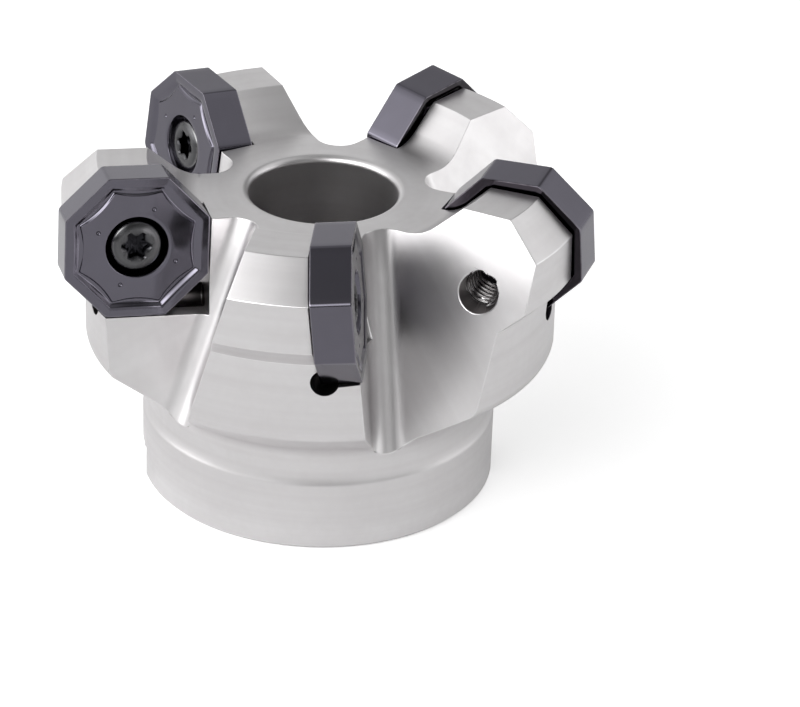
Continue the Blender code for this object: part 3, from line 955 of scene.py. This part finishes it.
def turned_rings_group():
    """Marks of a lathe tool: rings about Z that change with radius and height."""
    inputs = {"Vector": None, "Pitch": 0.0002}
    tree, given, result = new_group("Turned rings", inputs, ["Height", "Band"])
    parts = parts_of(tree, given["Vector"])
    x_squared = reckon(tree, "POWER", parts[0], 2.0)
    y_squared = reckon(tree, "POWER", parts[1], 2.0)
    from_axis = reckon(tree, "SQRT", reckon(tree, "ADD", x_squared, y_squared))
    radius = reckon(tree, "DIVIDE", from_axis, given["Pitch"])
    height = reckon(tree, "DIVIDE", parts[2], given["Pitch"])
    rings = joined(tree, radius, height)
    feed(tree, result["Height"], noise(tree, rings, 1.0, 3.0))
    feed(tree, result["Band"], noise(tree, rings, 0.11, 2.0))
    return tree


def milled_lines_group():
    """Marks of an end mill in the gullets: slanting lines, alike on every tooth."""
    inputs = {"Vector": None, "Pitch": 0.0004}
    tree, given, result = new_group("Milled lines", inputs, ["Height", "Band"])
    across = node(tree, "ShaderNodeVectorMath", operation="DOT_PRODUCT")
    feed(tree, across.inputs[0], given["Vector"])
    feed(tree, across.inputs[1], attribute(tree, "across", "Vector"))
    lines = reckon(tree, "DIVIDE", across.outputs["Value"], given["Pitch"])
    along = reckon(tree, "MULTIPLY", parts_of(tree, given["Vector"])[2], 60.0)
    streaks = joined(tree, lines, along)
    feed(tree, result["Height"], noise(tree, streaks, 1.0, 2.0))
    feed(tree, result["Band"], noise(tree, streaks, 0.13, 2.0))
    return tree


def smudges_group():
    """Uneven film of oil and handling: soft clouds with finer blotches in them."""
    tree, given, result = new_group("Smudges", {"Vector": None, "Size": 0.006}, ["Mask"])
    scale = reckon(tree, "DIVIDE", 1.0, given["Size"])
    wide = noise(tree, given["Vector"], scale, 3.0)
    fine = noise(tree, given["Vector"], reckon(tree, "MULTIPLY", scale, 6.0), 2.0)
    feed(tree, result["Mask"], span(tree, mixed_number(tree, 0.35, wide, fine), 0.35, 0.65))
    return tree


def edge_wear_and_highlight_group():
    """Where an edge has been rubbed bright and carries a painted highlight: the piece's own edge mask,
    broken up along its length.
    """
    inputs = {"Vector": None, "Amount": 0.8, "Size": 0.0015}
    tree, given, result = new_group("Edge wear and highlight", inputs, ["Mask"])
    broken = noise(tree, given["Vector"], reckon(tree, "DIVIDE", 1.0, given["Size"]), 3.0)
    broken = span(tree, broken, 0.30, 0.60, 0.35, 1.0)
    edge = reckon(tree, "MULTIPLY", attribute(tree, "edge"), broken)
    feed(tree, result["Mask"], reckon(tree, "MULTIPLY", edge, given["Amount"]))
    return tree


def fine_grain_group():
    """Grain finer than the tool marks: blasting on steel, droplets in a coating."""
    inputs = {"Vector": None, "Size": 0.0002}
    tree, given, result = new_group("Fine grain", inputs, ["Height", "Fleck"])
    grain = noise(tree, given["Vector"], reckon(tree, "DIVIDE", 1.0, given["Size"]), 2.0)
    feed(tree, result["Height"], grain)
    feed(tree, result["Fleck"], span(tree, grain, 0.55, 0.75))
    return tree


# Materials

def new_material(name, metallic=1.0):
    material = bpy.data.materials.new(name)
    material.use_nodes = True
    shader = material.node_tree.nodes["Principled BSDF"]
    shader.inputs["Metallic"].default_value = metallic
    return material, material.node_tree, shader


def bump(tree, shader, *layers):
    """Stacks bump layers of (height socket, depth in metres) under the shader's normal."""
    normal = None
    for height, depth in layers:
        step = node(tree, "ShaderNodeBump")
        step.inputs["Distance"].default_value = depth
        feed(tree, step.inputs["Height"], height)
        if normal is not None:
            feed(tree, step.inputs["Normal"], normal)
        normal = step.outputs[0]
    feed(tree, shader.inputs["Normal"], normal)


def banded(tree, band, colours):
    """Drifts between two colours as wide bands of tool marks come and go."""
    return mixed_colour(tree, span(tree, band, 0.3, 0.7), *colours)


def backward_curve(tree, place):
    """Height field under which a steep face shades as if it curved back towards the top."""
    height = parts_of(tree, place)[2]
    rise = reckon(tree, "MAXIMUM", reckon(tree, "SUBTRACT", height, MILLED_LEAN_FROM), 0.0)
    beyond = reckon(tree, "MAXIMUM", reckon(tree, "SUBTRACT", height, MILLED_LEAN_TO), 0.0)
    # Falls as the square of the rise, and in a straight line beyond the upper height
    fall = reckon(tree, "SUBTRACT", reckon(tree, "POWER", beyond, 2.0), reckon(tree, "POWER", rise, 2.0))
    return reckon(tree, "DIVIDE", fall, 2.0 * MILLED_LEAN_RADIUS)


def satin_steel():
    """Body steel: turned outside and in the bore, end-milled in the gullets, then blasted soft."""
    material, tree, shader = new_material("satin_steel")
    place = node(tree, "ShaderNodeTexCoord").outputs["Object"]
    rings = use_group(tree, TURNED_RINGS, Vector=place, Pitch=0.00022)
    lines = use_group(tree, MILLED_LINES, Vector=place, Pitch=0.00034)
    film = use_group(tree, SMUDGES, Vector=place, Size=0.007)["Mask"]
    wear_and_highlight = use_group(tree, EDGE_WEAR_AND_HIGHLIGHT, Vector=place, Amount=0.65)["Mask"]
    grain = use_group(tree, FINE_GRAIN, Vector=place, Size=0.00016)
    milled = attribute(tree, "milled")
    band = mixed_number(tree, milled, rings["Band"], lines["Band"])
    marks = mixed_number(tree, milled, rings["Height"], lines["Height"])
    colour = banded(tree, band, STEEL_BANDS)
    colour = mixed_colour(tree, reckon(tree, "MULTIPLY", film, 0.35), colour, STEEL_FILM)
    # Painted shade darkens the drilled holes, their mouths and, more faintly, the bore
    colour = mixed_colour(tree, attribute(tree, "hole_shade"), colour, STEEL_HOLE_SHADE)
    # Lighter edges: part wear, part painted highlight
    colour = mixed_colour(tree, wear_and_highlight, colour, STEEL_WEAR_AND_HIGHLIGHT)
    feed(tree, shader.inputs["Base Color"], colour)
    rough = mixed_number(tree, milled, TURNED_ROUGHNESS, MILLED_ROUGHNESS)
    rough = reckon(tree, "MULTIPLY_ADD", film, 0.05, rough)
    rough = reckon(tree, "MULTIPLY_ADD", grain["Fleck"], 0.05, rough)
    rough = mixed_number(tree, wear_and_highlight, rough, WORN_ROUGHNESS)
    feed(tree, shader.inputs["Roughness"], rough)
    # Milled faces spread the light up and down
    feed(tree, shader.inputs["Anisotropic"], reckon(tree, "MULTIPLY", milled, MILLED_SPREAD))
    feed(tree, shader.inputs["Tangent"], joined(tree, 0.0, 0.0, 1.0))
    lean = reckon(tree, "MULTIPLY", backward_curve(tree, place), milled)
    bump(tree, shader, (lean, 1.0), (marks, STEEL_MARK_DEPTH), (grain["Height"], STEEL_GRAIN_DEPTH))
    return material


def coated_carbide():
    """Dark violet-grey vapour coating on ground carbide, with painted shade on the side in the seat."""
    material, tree, shader = new_material("coated_carbide")
    place = attribute(tree, "local", "Vector")
    film = use_group(tree, SMUDGES, Vector=place, Size=0.012)["Mask"]
    wear_and_highlight = use_group(tree, EDGE_WEAR_AND_HIGHLIGHT, Vector=place, Amount=0.4, Size=0.001)["Mask"]
    grain = use_group(tree, FINE_GRAIN, Vector=place, Size=0.00012)
    colour = mixed_colour(tree, film, *COAT_CLOUDS)
    colour = mixed_colour(tree, reckon(tree, "MULTIPLY", grain["Fleck"], 0.1), colour, COAT_FLECK)
    # Painted shade on the face that lies against the seat
    colour = mixed_colour(tree, attribute(tree, "seat_side_shade"), colour, COAT_SEAT_SIDE_SHADE)
    # Lighter honed edge: part wear, part painted highlight
    colour = mixed_colour(tree, wear_and_highlight, colour, COAT_WEAR_AND_HIGHLIGHT)
    feed(tree, shader.inputs["Base Color"], colour)
    rough = reckon(tree, "MULTIPLY_ADD", film, 0.015, COAT_ROUGHNESS)
    rough = reckon(tree, "MULTIPLY_ADD", grain["Fleck"], 0.02, rough)
    feed(tree, shader.inputs["Roughness"], rough)
    bump(tree, shader, (grain["Height"], COAT_GRAIN_DEPTH))
    return material


def turned_screw_steel():
    """Dark turned screw heads, with painted shade in the pressed recess."""
    material, tree, shader = new_material("turned_screw_steel")
    place = attribute(tree, "local", "Vector")
    rings = use_group(tree, TURNED_RINGS, Vector=place, Pitch=0.00008)
    film = use_group(tree, SMUDGES, Vector=place, Size=0.0025)["Mask"]
    wear_and_highlight = use_group(tree, EDGE_WEAR_AND_HIGHLIGHT, Vector=place, Amount=0.9, Size=0.0008)["Mask"]
    grain = use_group(tree, FINE_GRAIN, Vector=place, Size=0.00010)
    colour = banded(tree, rings["Band"], SCREW_BANDS)
    colour = mixed_colour(tree, reckon(tree, "MULTIPLY", film, 0.3), colour, SCREW_FILM)
    # Painted shade in the recess and down the shank
    colour = mixed_colour(tree, attribute(tree, "recess_shade"), colour, SCREW_RECESS_SHADE)
    # Lighter head rim: part wear, part painted highlight
    colour = mixed_colour(tree, wear_and_highlight, colour, SCREW_WEAR_AND_HIGHLIGHT)
    feed(tree, shader.inputs["Base Color"], colour)
    rough = reckon(tree, "MULTIPLY_ADD", film, 0.04, SCREW_ROUGHNESS)
    feed(tree, shader.inputs["Roughness"], rough)
    # Rings of the turned head spread the light along its radius
    shader.inputs["Anisotropic"].default_value = SCREW_SPREAD
    feed(tree, shader.inputs["Tangent"], attribute(tree, "radial", "Vector"))
    bump(tree, shader, (rings["Height"], SCREW_RING_DEPTH), (grain["Height"], SCREW_GRAIN_DEPTH))
    return material


# Floor, light and camera

def add_floor():
    """White floor: it keeps the mill's shadow, and eye and metal see it a little lifted."""
    material, tree, shader = new_material("pale_floor", metallic=0.0)
    shader.inputs["Base Color"].default_value = FLOOR_COLOUR
    shader.inputs["Roughness"].default_value = 1.0
    shader.inputs["Specular IOR Level"].default_value = 0.0
    shader.inputs["Emission Color"].default_value = (1.0, 1.0, 1.0, 1.0)
    ray = node(tree, "ShaderNodeLightPath").outputs
    seen = reckon(tree, "MULTIPLY", ray["Is Camera Ray"], FLOOR_LIFT)
    mirrored = reckon(tree, "MAXIMUM", ray["Is Glossy Ray"], ray["Is Transmission Ray"])
    lift = reckon(tree, "MULTIPLY_ADD", mirrored, FLOOR_LIFT_IN_METAL, seen)
    feed(tree, shader.inputs["Emission Strength"], lift)
    bm = bmesh.new()
    bmesh.ops.create_grid(bm, x_segments=1, y_segments=1, size=FLOOR_HALF_WIDTH)
    floor = add_object("floor", mesh_from(bm, "floor"))
    floor.data.materials.append(material)


def add_dome():
    """Soft studio light painted on the sky: brightness by bearing at three heights, and overhead."""
    world = bpy.data.worlds.new("studio")
    bpy.context.scene.world = world
    world.use_nodes = True
    tree = world.node_tree
    parts = parts_of(tree, node(tree, "ShaderNodeTexCoord").outputs["Generated"])
    bearing = reckon(tree, "ARCTAN2", parts[1], parts[0])
    from_front = reckon(tree, "SUBTRACT", bearing, -math.pi / 2 - MILL_TURN)
    turn = reckon(tree, "FRACT", reckon(tree, "DIVIDE", from_front, 2.0 * math.pi))
    height = reckon(tree, "ARCSINE", parts[2])
    level = None
    below = None
    for elevation, powers in DOME_BANDS:
        ramp = node(tree, "ShaderNodeValToRGB")
        feed(tree, ramp.inputs[0], turn)
        stops = ramp.color_ramp.elements
        while len(stops) < len(powers) + 1:
            stops.new(0.5)
        for k, stop in enumerate(stops):
            share = powers[k % len(powers)] / DOME_STRENGTH
            stop.position = k / len(powers)
            stop.color = (share, share, share, 1.0)
        band = ramp.outputs["Color"]
        at = math.radians(elevation)
        if level is None:
            level = band
        else:
            level = mixed_colour(tree, span(tree, height, below, at), level, band)
        below = at
    background = tree.nodes["Background"]
    feed(tree, background.inputs["Color"], level)
    background.inputs["Strength"].default_value = DOME_STRENGTH


def add_camera():
    """Camera where the photograph was taken from, in the frame of the mill."""
    lens = bpy.data.cameras.new("camera")
    lens.lens = LENS_MM
    lens.sensor_width = SENSOR_MM
    lens.clip_start = 0.01
    camera = bpy.data.objects.new("camera", lens)
    bpy.context.scene.collection.objects.link(camera)
    back = Vector((0.0, -math.cos(CAMERA_ELEVATION), math.sin(CAMERA_ELEVATION)))
    camera.matrix_world = (
        Matrix.Rotation(-MILL_TURN, 4, "Z")
        @ Matrix.Translation(Vector(AIM_POINT) + back * CAMERA_DISTANCE)
        @ Matrix.Rotation(math.pi / 2 - CAMERA_ELEVATION, 4, "X")
        @ Matrix.Rotation(-CAMERA_YAW, 4, "Y")
        @ Matrix.Rotation(CAMERA_ROLL, 4, "Z")
    )
    bpy.context.scene.camera = camera


def dress(piece, nodes):
    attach(piece, "root")
    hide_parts(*nodes)


def main():
    bpy.context.scene.view_settings.view_transform = "Standard"
    teeth = range(1, TOOTH_COUNT + 1)
    dress(make_body(satin_steel()), ["cutter_body"])
    dress(make_inserts(coated_carbide()), [f"insert_{n}" for n in teeth])
    dress(make_screws(turned_screw_steel()), [f"insert_screw_{n}" for n in teeth])
    add_floor()
    add_dome()
    add_camera()


TURNED_RINGS = turned_rings_group()
MILLED_LINES = milled_lines_group()
SMUDGES = smudges_group()
EDGE_WEAR_AND_HIGHLIGHT = edge_wear_and_highlight_group()
FINE_GRAIN = fine_grain_group()

main()
